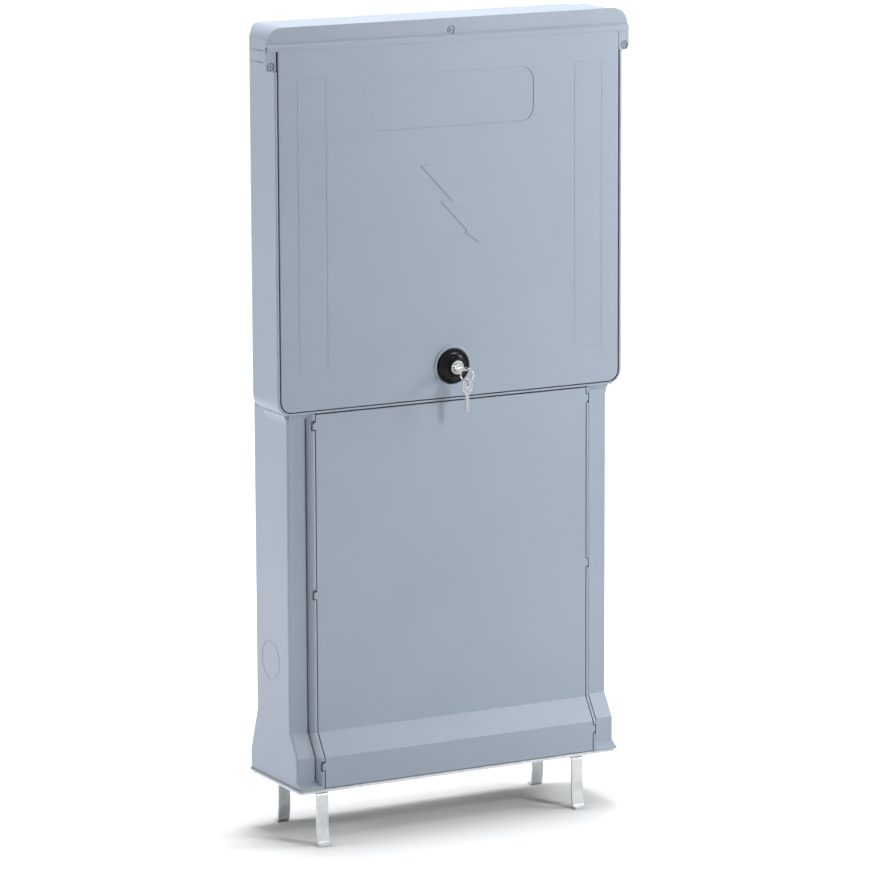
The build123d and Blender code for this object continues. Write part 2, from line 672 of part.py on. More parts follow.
def make_lock_nut():
    plane = Plane(origin=(0, 28.6, LOCK_Z), z_dir=(0, 1, 0))
    nut = extrude(plane * RegularPolygon(18, 6, major_radius=False), 6)
    return nut - rod_along_y(LOCK_BODY_RADIUS, 0, LOCK_Z, (28, 36))


def make_lock_barrel():
    barrel = rod_along_y(BARREL_RADIUS, 0, LOCK_Z, (BARREL_FACE, BARREL_BACK - 1.5))
    barrel = chamfer(barrel.faces().sort_by(Axis.Y)[0].edges(), 0.8)
    square = block((-4, 4), (BARREL_BACK - 3, CAM_FRONT + CAM_THICKNESS), (LOCK_Z - 4, LOCK_Z + 4))
    barrel += square
    half_blade = BLADE_WIDTH / 2 + 0.35
    half_thickness = KEY_THICKNESS / 2 + 0.35
    barrel -= block(
        (-half_blade, half_blade), (BARREL_FACE - 1, BARREL_FACE + BLADE_LENGTH + 1.5),
        (LOCK_Z - half_thickness, LOCK_Z + half_thickness),
    )
    barrel -= rod_along_y(2.0, 0, LOCK_Z, (CAM_FRONT - 8, CAM_FRONT + CAM_THICKNESS + 1))
    return barrel


def make_latch_cam():
    plane = Plane(origin=(0, CAM_FRONT, LOCK_Z), x_dir=(1, 0, 0), z_dir=(0, -1, 0))
    reach = CAM_LENGTH + CAM_WIDTH / 2
    face = Pos(reach / 2 - CAM_WIDTH / 2, 0) * RectangleRounded(reach, CAM_WIDTH, 4.0)
    face += Circle(CAM_WIDTH / 2 + 2)
    cam = extrude(plane * face, -CAM_THICKNESS)
    return cam - block((-4.05, 4.05), (CAM_FRONT - 1, CAM_FRONT + 5), (LOCK_Z - 4.05, LOCK_Z + 4.05))


def make_cam_screw():
    back = CAM_FRONT + CAM_THICKNESS
    shank = rod_along_y(2.0, 0, LOCK_Z, (CAM_FRONT - 6, back))
    head = rod_along_y(6.5, 0, LOCK_Z, (back, back + 3))
    head = chamfer(head.faces().sort_by(Axis.Y)[-1].edges(), 0.8)
    return shank + head


def flat_key():
    """A key lying flat, its six-sided bow at the origin's front and its blade along +Y."""
    plate = make_face(Polyline(*BOW_OUTLINE, close=True))
    plate = fillet(plate.vertices(), BOW_CORNER)
    bow = plate + Pos(0, 10.3) * Rectangle(10, 4.8)
    blade_start = BARREL_FACE - BOW_CENTRE - 1
    blade_end = BARREL_FACE - BOW_CENTRE + BLADE_LENGTH
    points = [(-BLADE_WIDTH / 2, blade_start), (-BLADE_WIDTH / 2, blade_end - 3), (-1, blade_end)]
    points += [(1, blade_end), (BLADE_WIDTH / 2, blade_end - 3)]
    cuts = [(3.0, 24), (2.0, 22), (3.4, 20), (2.2, 17.5), (3.0, 15.5), (1.8, 13), (3.6, 10), (4.0, 8)]
    for across, along in cuts:
        points.append((across, blade_start + along))
    points.append((BLADE_WIDTH / 2, blade_start))
    outline = bow + make_face(Polyline(*points, close=True))
    outline -= Pos(0, -BOW_HOLE_OFFSET) * Circle(BOW_HOLE_RADIUS)
    key = extrude(outline, KEY_THICKNESS / 2, both=True)
    groove = block((-1.6, -0.4), (blade_start + 1, blade_end - 3), (KEY_THICKNESS / 2 - 0.4, KEY_THICKNESS))
    middle = offset(plate, -BOW_RIM) - Pos(0, -BOW_HOLE_OFFSET) * Circle(BOW_HOLE_RADIUS + BOW_RIM)
    sunk = extrude(Plane.XY.offset(KEY_THICKNESS / 2 - BOW_SINK) * middle, KEY_THICKNESS)
    return key - groove - sunk - mirror(sunk, about=Plane.XY)


def make_key():
    return Pos(0, BOW_CENTRE, LOCK_Z) * flat_key()


def ring_hang():
    """Where the ring passes round the key's bow, and its heading in plan."""
    heading = math.radians(RING_HEADING)
    direction = Vector(math.sin(heading), -math.cos(heading), 0)
    hole = Vector(0, BOW_CENTRE - BOW_HOLE_OFFSET, LOCK_Z)
    return hole + direction * 6.4, direction


def make_key_ring():
    grip, direction = ring_hang()
    drop = RING_RADIUS - RING_WIRE - KEY_THICKNESS / 2 - 1.0
    normal = Vector(-direction.Y, direction.X, 0)
    section = Plane(
        origin=grip - Vector(0, 0, drop), x_dir=tuple(normal), z_dir=tuple(normal.cross(Vector(0, 0, 1)))
    )
    wire = Pos(RING_TURN_GAP, RING_RADIUS) * Circle(RING_WIRE)
    wire += Pos(-RING_TURN_GAP, RING_RADIUS) * Circle(RING_WIRE)
    centre = section.origin
    return revolve(section * wire, Axis(tuple(centre), tuple(normal)))


def make_spare_key():
    grip, direction = ring_hang()
    drop = RING_RADIUS - RING_WIRE - KEY_THICKNESS / 2 - 1.0
    wire_bottom = grip - Vector(0, 0, drop + RING_RADIUS)
    hole_drop = BOW_HOLE_RADIUS - RING_WIRE - 0.75
    bow_centre = wire_bottom - Vector(0, 0, hole_drop + BOW_HOLE_OFFSET)
    across = Vector(-direction.Y, direction.X, 0).rotate(Axis.Z, -SPARE_TWIST)
    hanging = Plane(origin=bow_centre, x_dir=tuple(across), z_dir=tuple(across.cross(Vector(0, 0, -1))))
    return hanging * Rot(0, 180, 0) * flat_key()


def make_base_cover():
    half = COVER_WIDTH / 2
    cover = bar_along_x(front_section(DOOR_FACE, 0, 13.0, COVER_TOP, COVER_BOTTOM), -half, half)
    inside = front_section(DOOR_FACE, COVER_SKIN, 20.0, COVER_TOP - COVER_SKIN, COVER_BOTTOM - 5)
    cover -= bar_along_x(inside, -half + COVER_SKIN, half - COVER_SKIN)

    # Ears that sit in the notches of the rim
    for height in EAR_HEIGHTS:
        front = DOOR_FACE if height > FRONT_FLARE_TOP else DOOR_FACE - FLARE
        low = height - EAR_HEIGHT / 2
        high = height + EAR_HEIGHT / 2
        for side in (-1, 1):
            slope = 3.0 if side < 0 else 0.0
            drop = 0.0 if side < 0 else 3.0
            points = [(half - 2, low), (EAR_REACH, low + drop), (EAR_REACH, high - slope), (half - 2, high)]
            plane = Plane(origin=(0, front + 3.6, 0), x_dir=(side, 0, 0), z_dir=(0, -side, 0))
            cover += extrude(plane * make_face(Polyline(*points, close=True)), 3.6 * side)

    # Ribs behind the skin, and slotted tongues that the clamp bolts hold
    for x in (-150, -50, 50, 150):
        cover += bar_along_x(front_section(DOOR_FACE, 3.0, 9.0, COVER_TOP - 2, 30), x - 1.4, x + 1.4)
    for x in CLAMP_BOLT_X:
        through = (COVER_TOP - 6, COVER_TOP + 1)
        tongue = block((x - 18, x + 18), (DOOR_FACE + 2, CLAMP_BOLT_Y + 8), (COVER_TOP - 4, COVER_TOP))
        tongue -= block((x - 3.4, x + 3.4), (CLAMP_BOLT_Y, CLAMP_BOLT_Y + 10), through)
        tongue -= rod_along_z(3.4, x, CLAMP_BOLT_Y, through)
        cover += tongue
    return cover


def bolt_along_z(radius, across_flats, x, y, seat, end, head):
    """A hexagon bolt with its head on top of the seat and its shank pointing down."""
    hexagon = hexagon_along_z(across_flats, x, y, (seat, seat + head))
    return hexagon + rod_along_z(radius, x, y, (end, seat + 0.5))


def nut_along_z(radius, across_flats, x, y, z):
    return hexagon_along_z(across_flats, x, y, z) - rod_along_z(radius, x, y, (z[0] - 1, z[1] + 1))


def make_cover_bolts():
    return group([bolt_along_z(3, 10, x, CLAMP_BOLT_Y, CASING_FLOOR, 580, 4) for x in CLAMP_BOLT_X])


def make_cover_nuts():
    bearing = COVER_TOP - 4.4
    nuts = []
    for x in CLAMP_BOLT_X:
        washer = rod_along_z(9, x, CLAMP_BOLT_Y, (bearing - 1.6, bearing))
        nut = hexagon_along_z(10, x, CLAMP_BOLT_Y, (bearing - 6.5, bearing - 1.5))
        nuts.append(washer + nut - rod_along_z(3, x, CLAMP_BOLT_Y, (575, 600)))
    return group(nuts)


def make_casing_bolts():
    return group([bolt_along_z(4, 13, x, y, CASING_FLOOR, 582, 5.3) for x, y in CASING_BOLTS])


def make_casing_nuts():
    return group([nut_along_z(4, 13, x, y, (TOP_FLANGE - 6.5, TOP_FLANGE)) for x, y in CASING_BOLTS])


def make_lock_keeper():
    sheet = KEEPER_SHEET
    section = [(SEAT_BACK, CASING_FLOOR), (SEAT_BACK, 613), (SEAT_BACK + sheet, 613)]
    section += [(SEAT_BACK + sheet, CASING_FLOOR + sheet), (63, CASING_FLOOR + sheet), (63, CASING_FLOOR)]
    keeper = bar_along_x(section, -32, 32)
    for x in KEEPER_SCREW_X:
        keeper -= rod_along_z(2.7, x, KEEPER_SCREW_Y, (590, 610))
    return keeper


def make_keeper_screws():
    seat = CASING_FLOOR + KEEPER_SHEET
    screws = []
    for x in KEEPER_SCREW_X:
        head = rod_along_z(4.5, x, KEEPER_SCREW_Y, (seat, seat + 2.6))
        head = chamfer(head.faces().sort_by(Axis.Z)[-1].edges(), 0.8)
        screws.append(head + rod_along_z(SCREW_PILOT, x, KEEPER_SCREW_Y, (596.5, seat + 0.5)))
    return group(screws)


def make_mounting_board():
    half = BOARD_WIDTH / 2
    board = front_block(half, BOARD_BOTTOM, BOARD_TOP, 8, 8, (BOARD_BACK - BOARD_THICKNESS, BOARD_BACK))
    for x in (-BOARD_FIX_X, BOARD_FIX_X):
        for z in BOARD_FIX_Z:
            board -= rod_along_y(3.4, x, z, (130, 145))
    for x in (-METER_SPACING_X / 2, METER_SPACING_X / 2):
        for z in (METER_CENTRE_Z - METER_SPACING_Z / 2, METER_CENTRE_Z + METER_SPACING_Z / 2):
            board -= rod_along_y(METER_HOLE_RADIUS, x, z, (130, 145))
    return board


def make_board_screws():
    front = BOARD_BACK - BOARD_THICKNESS - 4.0
    screws = []
    for x in (-BOARD_FIX_X, BOARD_FIX_X):
        for z in BOARD_FIX_Z:
            screws.append(screw_along_y(x, z, front, 6.2, 4.0, 3.0, BODY_BACK - 4.5))
    return group(screws)


def make_cable_grommets():
    profile = make_face(
        Polyline(
            (0, 0), (12, 0), (26, -6), (36, -6), (36, -1), (29.9, -0.3), (29.9, 4.0), (36, 4.7),
            (36, 8.5), (27, 8.5), (14, 3), (0, 3), close=True,
        )
    )
    grommet = revolve(Plane.XZ * profile, Axis.Z)
    return group([Pos(x, GROMMET_Y, CASING_BOTTOM) * grommet for x in GROMMET_X])


def make_cable_rail():
    half = RAIL_LENGTH / 2
    front = RAIL_BACK - RAIL_DEPTH
    low = RAIL_Z - RAIL_HEIGHT / 2
    high = RAIL_Z + RAIL_HEIGHT / 2
    rail = block((-half, half), (front, RAIL_BACK), (low, high))
    rail -= block((-half - 1, half + 1), (front + 2, RAIL_BACK - 2), (low + 2, high - 2))
    rail -= block((-half - 1, half + 1), (front - 1, front + 3), (RAIL_Z - 8, RAIL_Z + 8))
    for x in (-RAIL_FIX_X, RAIL_FIX_X):
        rail -= rod_along_y(3.4, x, RAIL_Z, (front - 1, RAIL_BACK + 1))
    return rail


def make_rail_screws():
    screws = []
    for x in (-RAIL_FIX_X, RAIL_FIX_X):
        screws.append(screw_along_y(x, RAIL_Z, RAIL_BACK - 6.0, 6.0, 4.0, 3.0, BODY_BACK - 5))
    return group(screws)


def make_cable_cleats():
    inner = CLEAT_RADIUS
    outer = CLEAT_RADIUS + 3
    front = RAIL_BACK - RAIL_DEPTH
    strap = Circle(outer) - Circle(inner)
    strap &= Pos(0, -outer / 2) * Rectangle(2 * outer, outer)
    strap += Pos(outer + 6, -1.5) * Rectangle(15, 3)
    strap += Pos(-outer - 6, -1.5) * Rectangle(15, 3)
    cleat = extrude(Plane.XY.offset(RAIL_Z - 10) * (Pos(0, front) * strap), 20)
    for x in (-outer - 7, outer + 7):
        cleat -= rod_along_y(2.7, x, RAIL_Z, (front - 5, front + 5))
    return group([Pos(x, 0, 0) * cleat for x in CLEAT_X])


def make_cleat_screws():
    front = RAIL_BACK - RAIL_DEPTH - 3
    reach = CLEAT_RADIUS + 10
    screws = []
    for x in CLEAT_X:
        for side in (-reach, reach):
            screws.append(screw_along_y(x + side, RAIL_Z, front - 3, 4.6, 3.0, 2.5, RAIL_BACK - 3))
    return group(screws)


def make_anchor_frame():
    half = FRAME_WIDTH / 2
    z = (-FRAME_THICKNESS, -SEAM)
    frame = block((-half, half), (FRAME_FRONT, FRAME_BACK), z)
    frame = fillet(frame.edges().filter_by(Axis.Z), 4.0)
    through = (-8, 2)
    window_y = (FRAME_FRONT + FRAME_BAR, FRAME_BACK - FRAME_BAR)
    frame -= block((-half + FRAME_BAR, half - FRAME_BAR), window_y, through)
    for y in (PAD_FRONT_Y, PAD_REAR_Y):
        for x in (-PAD_X, PAD_X):
            frame -= rod_along_z(HOLD_DOWN_HOLE, x, y, through)
            sink = (-FRAME_THICKNESS, -FRAME_THICKNESS + 4.2)
            frame -= countersink(HOLD_DOWN_HEAD + 0.3, HOLD_DOWN_HOLE, x, y, sink)
    for x, y in anchor_bolt_places():
        frame -= rod_along_z(STRIP_BOLT_HOLE, x, y, through)
    return frame


def anchor_bolt_places():
    """Where each strip anchor is bolted under the frame."""
    front = [(x, FRONT_LEG_Y + ANCHOR_HOLE) for x in (FRONT_LEFT_X, FRONT_RIGHT_X)]
    rear = [(x, REAR_LEG_Y - ANCHOR_HOLE) for x in (REAR_LEFT_X, REAR_RIGHT_X)]
    return front + rear


def make_anchor(x, leg_y, inward):
    """A bent steel strip: a tab under the frame, a leg, and a foot turned outwards."""
    top = -FRAME_THICKNESS - STRIP_THICKNESS / 2
    sole = -ANCHOR_DROP + STRIP_THICKNESS / 2
    path = FilletPolyline(
        (x, leg_y + inward * 26, top),
        (x, leg_y, top),
        (x, leg_y, -64),
        (x, leg_y - inward * 4, sole),
        (x, leg_y - inward * 15, sole),
        radius=5.0,
    )
    start = Plane(origin=path @ 0, x_dir=(1, 0, 0), z_dir=tuple(path % 0))
    strip = sweep(start * Rectangle(STRIP_WIDTH, STRIP_THICKNESS), path=path)
    hole_y = leg_y + inward * ANCHOR_HOLE
    under = -FRAME_THICKNESS - STRIP_THICKNESS
    strip -= rod_along_z(STRIP_BOLT_HOLE, x, hole_y, (-20, 0))
    return strip - countersink(STRIP_BOLT_HEAD + 0.2, STRIP_BOLT_HOLE, x, hole_y, (under, under + 3.4))


def make_anchor_bolts():
    under = -FRAME_THICKNESS - STRIP_THICKNESS
    bolts = []
    for x, y in anchor_bolt_places():
        head = countersink(STRIP_BOLT_HEAD, 4.0, x, y, (under, under + 3.2))
        bolts.append(head + rod_along_z(4, x, y, (under + 0.5, -SEAM)))
    return group(bolts)


def make_frame_bolts():
    """Bolts with sunk heads, put through frame and foot from below."""
    bolts = []
    for y in (PAD_FRONT_Y, PAD_REAR_Y):
        for x in (-PAD_X, PAD_X):
            head = countersink(HOLD_DOWN_HEAD, 5.0, x, y, (-FRAME_THICKNESS, -FRAME_THICKNESS + 4.0))
            bolts.append(head + rod_along_z(5, x, y, (-FRAME_THICKNESS + 0.5, FOOT_PAD_TOP + 13)))
    return group(bolts)


def make_frame_nuts():
    """Flanged nuts on the pads inside the foot."""
    nuts = []
    for y in (PAD_FRONT_Y, PAD_REAR_Y):
        for x in (-PAD_X, PAD_X):
            flange = rod_along_z(10, x, y, (FOOT_PAD_TOP, FOOT_PAD_TOP + 2))
            nut = hexagon_along_z(17, x, y, (FOOT_PAD_TOP + 1.5, FOOT_PAD_TOP + 10))
            nuts.append(flange + nut - rod_along_z(5, x, y, (FOOT_PAD_TOP - 1, FOOT_PAD_TOP + 11)))
    return group(nuts)


PIECES = {
    "upper_casing": make_upper_casing(),
    "pedestal_shell": make_pedestal_shell(),
    "header_cap": make_header_cap(),
    "header_screw": make_header_screw(),
    "lug_screws": make_lug_screws(),
    "hinge_pins": make_hinge_pins(),
    "door_gasket": make_door_gasket(),
    "door_panel": make_door_panel(),
    "lock_rosette": make_lock_rosette(),
    "lock_body": make_lock_body(),
    "lock_nut": make_lock_nut(),
    "lock_barrel": make_lock_barrel(),
    "latch_cam": make_latch_cam(),
    "cam_screw": make_cam_screw(),
    "key": make_key(),
    "key_ring": make_key_ring(),
    "spare_key": make_spare_key(),
    "lock_keeper": make_lock_keeper(),
    "keeper_screws": make_keeper_screws(),
    "base_cover": make_base_cover(),
    "cover_bolts": make_cover_bolts(),
    "cover_nuts": make_cover_nuts(),
    "casing_bolts": make_casing_bolts(),
    "casing_nuts": make_casing_nuts(),
    "mounting_board": make_mounting_board(),
    "board_screws": make_board_screws(),
    "cable_grommets": make_cable_grommets(),
    "cable_rail": make_cable_rail(),
    "rail_screws": make_rail_screws(),
    "cable_cleats": make_cable_cleats(),
    "cleat_screws": make_cleat_screws(),
    "anchor_frame": make_anchor_frame(),
    "anchor_front_left": make_anchor(FRONT_LEFT_X, FRONT_LEG_Y, 1),
    "anchor_front_right": make_anchor(FRONT_RIGHT_X, FRONT_LEG_Y, 1),
    "anchor_rear_left": make_anchor(REAR_LEFT_X, REAR_LEG_Y, -1),
    "anchor_rear_right": make_anchor(REAR_RIGHT_X, REAR_LEG_Y, -1),
    "anchor_bolts": make_anchor_bolts(),
    "frame_bolts": make_frame_bolts(),
    "frame_nuts": make_frame_nuts(),
}

TO_ROW = Pos(0, -FOOTPRINT_MIDDLE, ANCHOR_DROP)

os.makedirs("parts", exist_ok=True)
for name, piece in PIECES.items():
    export_step(TO_ROW * piece, f"parts/{name}.step")
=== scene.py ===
# %% [markdown]
# # An electrical pillar cabinet, dressed in Blender
# The cabinet's rigid pieces come from CAD and arrive here as a fixed frame: they stay where they
# are and only get finishes. What CAD leaves plain, such as the grain of the moulded plastic, the
# split key ring and the sealing strip, is added on top. The first cell loads the frame.

# %% Load the fixed frame
import json
import math

import bpy
from mathutils import Matrix, Vector


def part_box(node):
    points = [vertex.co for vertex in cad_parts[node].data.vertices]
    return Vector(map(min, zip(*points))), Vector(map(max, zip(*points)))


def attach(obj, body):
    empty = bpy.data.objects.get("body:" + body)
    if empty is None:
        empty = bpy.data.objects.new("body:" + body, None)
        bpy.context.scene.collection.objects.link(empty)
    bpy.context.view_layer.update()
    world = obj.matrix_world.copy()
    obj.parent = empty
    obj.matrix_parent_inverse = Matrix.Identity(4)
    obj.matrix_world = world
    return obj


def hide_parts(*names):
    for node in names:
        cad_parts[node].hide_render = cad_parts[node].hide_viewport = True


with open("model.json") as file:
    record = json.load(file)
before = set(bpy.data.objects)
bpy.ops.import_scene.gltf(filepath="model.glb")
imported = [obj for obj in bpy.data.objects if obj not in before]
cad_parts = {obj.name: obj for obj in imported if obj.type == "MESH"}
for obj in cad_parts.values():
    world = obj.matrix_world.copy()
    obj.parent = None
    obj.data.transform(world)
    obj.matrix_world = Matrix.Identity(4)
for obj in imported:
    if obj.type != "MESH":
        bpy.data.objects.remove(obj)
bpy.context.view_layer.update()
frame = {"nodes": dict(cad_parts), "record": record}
node = frame["nodes"]

# %% [markdown]
# ## Colours
# Blender's sockets want linear light, but colours are easier to choose as the 0 to 255 values that
# a picture shows. One small helper turns the second kind into the first. The cabinet is a plain
# grey-blue; everything else on it is black, bright metal or hidden inside.

# %% Turn picture colours into linear light
def tone(red, green, blue):
    """A picture colour from 0 to 255 as linear light with full opacity."""
    def linear(value):
        part = value / 255
        return part / 12.92 if part <= 0.04045 else ((part + 0.055) / 1.055) ** 2.4
    return (linear(red), linear(green), linear(blue), 1.0)


HOUSING = tone(163, 176, 191)
HOUSING_CLOUD = tone(170, 182, 196)
BLACK = tone(8, 8, 9)
RUBBER = tone(30, 30, 31)
BOARD = tone(214, 211, 200)
CLEAT = tone(52, 53, 56)
ZINC = tone(196, 199, 203)
ZINC_DULL = tone(160, 163, 167)
NICKEL = tone(192, 193, 194)
NICKEL_DULL = tone(128, 130, 132)
GALVANISED = tone(222, 225, 227)
GALVANISED_DULL = tone(200, 203, 206)
PAINTED_EDGE_HIGHLIGHT = tone(246, 245, 242)
print("housing in linear light:", tuple(round(v, 3) for v in HOUSING[:3]))

# %% [markdown]
# ## Node helpers
# Finishes and grown shapes are both trees of nodes. These helpers add a node with its values set,
# and feed an input with either another node's output or a plain value.

# %% Add and join nodes
def add(tree, kind, **values):
    """A new node; the values are set on its properties or, failing that, on its inputs."""
    made = tree.nodes.new(kind)
    for name, value in values.items():
        if name in made.bl_rna.properties.keys():
            setattr(made, name, value)
        else:
            made.inputs[name.replace("_", " ")].default_value = value
    return made


def feed(tree, start, end):
    """Gives an input another node's output or a plain value."""
    if isinstance(start, bpy.types.NodeSocket):
        tree.links.new(start, end)
    else:
        end.default_value = start


# %% [markdown]
# The next helpers are sums, spans and directions, which nearly every tree below needs. Each gives
# back the output socket, so that one call can feed the next.

# %% Calculate with nodes
def calculate(tree, operation, first, second):
    """One Math node."""
    made = add(tree, "ShaderNodeMath", operation=operation)
    feed(tree, first, made.inputs[0])
    feed(tree, second, made.inputs[1])
    return made.outputs["Value"]


def stretch(tree, start, span=(0.0, 1.0), onto=(0.0, 1.0), smooth=False):
    """A Map Range node that takes one span of values onto another."""
    kind = "SMOOTHSTEP" if smooth else "LINEAR"
    made = add(tree, "ShaderNodeMapRange", interpolation_type=kind)
    feed(tree, start, made.inputs["Value"])
    for label, value in zip(("From Min", "From Max", "To Min", "To Max"), (*span, *onto)):
        feed(tree, value, made.inputs[label])
    return made.outputs["Result"]


def arrow(tree, x=0.0, y=0.0, z=0.0):
    """A vector from three values."""
    made = add(tree, "ShaderNodeCombineXYZ")
    for label, value in zip("XYZ", (x, y, z)):
        feed(tree, value, made.inputs[label])
    return made.outputs["Vector"]


# %% [markdown]
# ## Helpers for finishes
# Colours are blended and darkened the same way in both groups below, and both round their edges.
# A Bevel node does that in the shading only: no moulding or stamping has a knife edge. All
# textures use Object coordinates, so that their scale is in true metres.

# %% Blend, darken and round
BUMP_DEPTH = 0.0002
EDGE_SAMPLES = 4


def blend(tree, share, first, second):
    """A mix of two colours."""
    made = add(tree, "ShaderNodeMix", data_type="RGBA")
    for place, value in zip((0, 6, 7), (share, first, second)):
        feed(tree, value, made.inputs[place])
    return made.outputs[2]


def darken(tree, colour, share):
    """A colour times a share."""
    made = add(tree, "ShaderNodeVectorMath", operation="SCALE")
    feed(tree, colour, made.inputs[0])
    feed(tree, share, made.inputs["Scale"])
    return made.outputs["Vector"]


def openness(tree, reach, samples):
    """How open a spot is, from 0 deep in a gap to 1 in the open."""
    made = add(tree, "ShaderNodeAmbientOcclusion", samples=samples)
    feed(tree, reach, made.inputs["Distance"])
    return made.outputs["AO"]


def rounded(tree, radius, samples):
    """The surface direction with rounded edges."""
    made = add(tree, "ShaderNodeBevel", samples=samples)
    feed(tree, radius, made.inputs["Radius"])
    return made.outputs["Normal"]


def lifted(tree, height, strength, base):
    """A surface direction with small heights on it."""
    made = add(tree, "ShaderNodeBump", Distance=BUMP_DEPTH)
    feed(tree, strength, made.inputs["Strength"])
    feed(tree, height, made.inputs["Height"])
    feed(tree, base, made.inputs["Normal"])
    return made.outputs["Normal"]


# %% [markdown]
# A group has named inputs and always the same three outputs: colour, roughness and normal. The
# shader itself stays in the material.

# %% Start a group for a finish
def new_group(name, inputs):
    """A node group with its named inputs, its end node and the place on the object."""
    group = bpy.data.node_groups.new(name, "ShaderNodeTree")
    for label, value in inputs.items():
        kind = "NodeSocketColor" if isinstance(value, tuple) else "NodeSocketFloat"
        group.interface.new_socket(label, in_out="INPUT", socket_type=kind).default_value = value
    for label, kind in (("Colour", "Color"), ("Roughness", "Float"), ("Normal", "Vector")):
        group.interface.new_socket(label, in_out="OUTPUT", socket_type="NodeSocket" + kind)
    source = group.nodes.new("NodeGroupInput").outputs
    result = group.nodes.new("NodeGroupOutput").inputs
    spot = add(group, "ShaderNodeTexCoord").outputs["Object"]
    return group, source, result, spot


# %% [markdown]
# ## The grain of moulded plastic
# The housing is pressed from glass-fibre plastic. Its skin is matt, with a fine pimple grain from
# the mould and a faint cloudiness where the resin flowed. A noise texture can draw both: a small
# one lifts the surface and moves the roughness, a large one moves the colour by a few percent.
# Narrow gaps get painted shade that makes them nearly black, where an Ambient Occlusion node finds them
# closed in.

# %% Group: moulded skin
CLOUD_SPAN = (0.3, 0.75)
GAP_SPAN = (0.05, 0.38)
GRAIN_SHEEN = (-0.06, 0.06)


def moulded_skin_group():
    inputs = {
        "Colour": HOUSING, "Cloud colour": HOUSING_CLOUD, "Grain per metre": 900.0,
        "Grain lift": 0.12, "Roughness": 0.42, "Edge radius": 0.0010,
        "Gap reach": 0.0060, "Gap shade": 0.12,
    }
    group, source, result, spot = new_group("Moulded skin", inputs)
    clouds = add(group, "ShaderNodeTexNoise", Scale=3.5, Detail=3.0, Roughness=0.55)
    feed(group, spot, clouds.inputs["Vector"])
    cloudy = stretch(group, clouds.outputs["Fac"], CLOUD_SPAN)
    colour = blend(group, cloudy, source["Colour"], source["Cloud colour"])
    # Painted shade: the colour is darkened in narrow gaps that the Ambient Occlusion node finds closed in
    closed = openness(group, source["Gap reach"], samples=8)
    shade = stretch(group, closed, GAP_SPAN, (source["Gap shade"], 1.0), smooth=True)
    feed(group, darken(group, colour, shade), result["Colour"])

    grain = add(group, "ShaderNodeTexNoise", Detail=2.0, Roughness=0.6)
    feed(group, spot, grain.inputs["Vector"])
    feed(group, source["Grain per metre"], grain.inputs["Scale"])
    sheen = stretch(group, grain.outputs["Fac"], onto=GRAIN_SHEEN)
    feed(group, calculate(group, "ADD", source["Roughness"], sheen), result["Roughness"])
    edge = rounded(group, source["Edge radius"], EDGE_SAMPLES)
    skin = lifted(group, grain.outputs["Fac"], source["Grain lift"], edge)
    feed(group, skin, result["Normal"])
    return group


moulded_skin = moulded_skin_group()
print("group made:", moulded_skin.name, "with", len(moulded_skin.nodes), "nodes")

# %% [markdown]
# ## The look of worked metal
# Zinc, nickel and hot-dip galvanising are all metals with an uneven sheen: plating is cloudy, and
# a galvanised strip shows its frozen crystals. A Voronoi texture draws crystals, a noise draws
# clouds, and their mix moves both roughness and colour. The edges get a painted highlight: near an
# edge the rounded direction leaves the true one, and that difference is the mask. Inner corners get
# painted shade.

# %% Find the edges for the painted highlight
EDGE_HIGHLIGHT_SPAN = (1.0, 0.96)


def painted_edge_highlight(group, source):
    """0 on flat faces, up to the wanted share near edges."""
    true_face = add(group, "ShaderNodeNewGeometry")
    alike = add(group, "ShaderNodeVectorMath", operation="DOT_PRODUCT")
    feed(group, rounded(group, source["Worn edge width"], samples=6), alike.inputs[0])
    feed(group, true_face.outputs["Normal"], alike.inputs[1])
    return stretch(group, alike.outputs["Value"], EDGE_HIGHLIGHT_SPAN, (0.0, source["Worn edge share"]))


# %% Group: metal sheen
def metal_sheen_group():
    inputs = {
        "Colour": ZINC, "Dull colour": ZINC_DULL, "Crystals per metre": 90.0,
        "Crystal share": 0.5, "Roughness low": 0.25, "Roughness high": 0.45,
        "Edge radius": 0.0004, "Worn edge width": 0.0005, "Worn edge share": 0.4,
        "Worn edge colour": PAINTED_EDGE_HIGHLIGHT, "Corner shade reach": 0.0025, "Corner dirt share": 0.45,
    }
    group, source, result, spot = new_group("Metal sheen", inputs)
    crystals = add(group, "ShaderNodeTexVoronoi")
    feed(group, spot, crystals.inputs["Vector"])
    feed(group, source["Crystals per metre"], crystals.inputs["Scale"])
    clouds = add(group, "ShaderNodeTexNoise", Scale=60.0, Detail=4.0)
    feed(group, spot, clouds.inputs["Vector"])
    tint = add(group, "ShaderNodeSeparateColor")
    feed(group, crystals.outputs["Color"], tint.inputs["Color"])
    mask = add(group, "ShaderNodeMix", data_type="FLOAT")
    parts = (source["Crystal share"], clouds.outputs["Fac"], tint.outputs[0])
    for place, value in zip((0, 2, 3), parts):
        feed(group, value, mask.inputs[place])
    dull = mask.outputs[0]

    colour = blend(group, dull, source["Colour"], source["Dull colour"])
    # Painted highlight: the edges are lightened toward the highlight colour
    highlighted = blend(group, painted_edge_highlight(group, source), colour, source["Worn edge colour"])
    # Painted shade: the colour is darkened in inner corners that the Ambient Occlusion node finds closed in
    closed = openness(group, source["Corner shade reach"], samples=8)
    cleanest = calculate(group, "SUBTRACT", 1.0, source["Corner dirt share"])
    shade = stretch(group, closed, onto=(cleanest, 1.0))
    feed(group, darken(group, highlighted, shade), result["Colour"])

    rough = stretch(group, dull, onto=(source["Roughness low"], source["Roughness high"]))
    feed(group, rough, result["Roughness"])
    edge = rounded(group, source["Edge radius"], EDGE_SAMPLES)
    feed(group, lifted(group, clouds.outputs["Fac"], 0.15, edge), result["Normal"])
    return group


metal_sheen = metal_sheen_group()
print("group made:", metal_sheen.name, "with", len(metal_sheen.nodes), "nodes")

# %% [markdown]
# ## Finishes
# Each finish places a group and sets its own values. What is the same all over, such as whether
# it is metal, is set straight on the Principled BSDF. The lock's rosette is smooth and deep black,
# so its gloss is turned down and only the lamps show in it.

